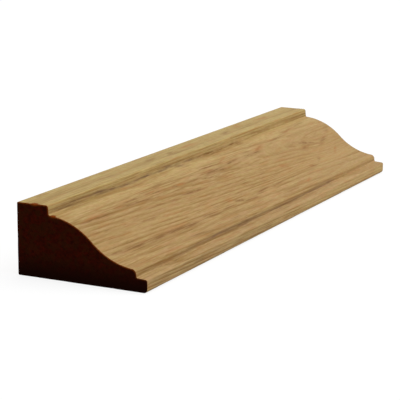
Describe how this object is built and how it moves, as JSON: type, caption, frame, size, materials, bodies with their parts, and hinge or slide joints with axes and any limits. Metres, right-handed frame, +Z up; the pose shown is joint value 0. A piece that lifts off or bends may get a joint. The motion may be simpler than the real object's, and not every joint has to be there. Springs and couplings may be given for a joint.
{
  "type": "panel moulding",
  "caption": "Short straight length of hardwood panel moulding with a flat back, a thick and a thin edge, and an ogee between two quirks, sawn square and sealed dark at the ends.",
  "frame": {"origin": "middle of the flat back that it lies on", "axes": "+X along the length, +Y across the width towards the thick edge, +Z up out of the back through the thickness"},
  "size_m": [0.1524, 0.035, 0.0178],
  "materials": {
    "oak": "bare oak, machined and sanded, with both end faces brushed with a dark brown sealer"
  },
  "bodies": {
    "root": {"panel_moulding": "oak"}
  },
  "joints": []
}
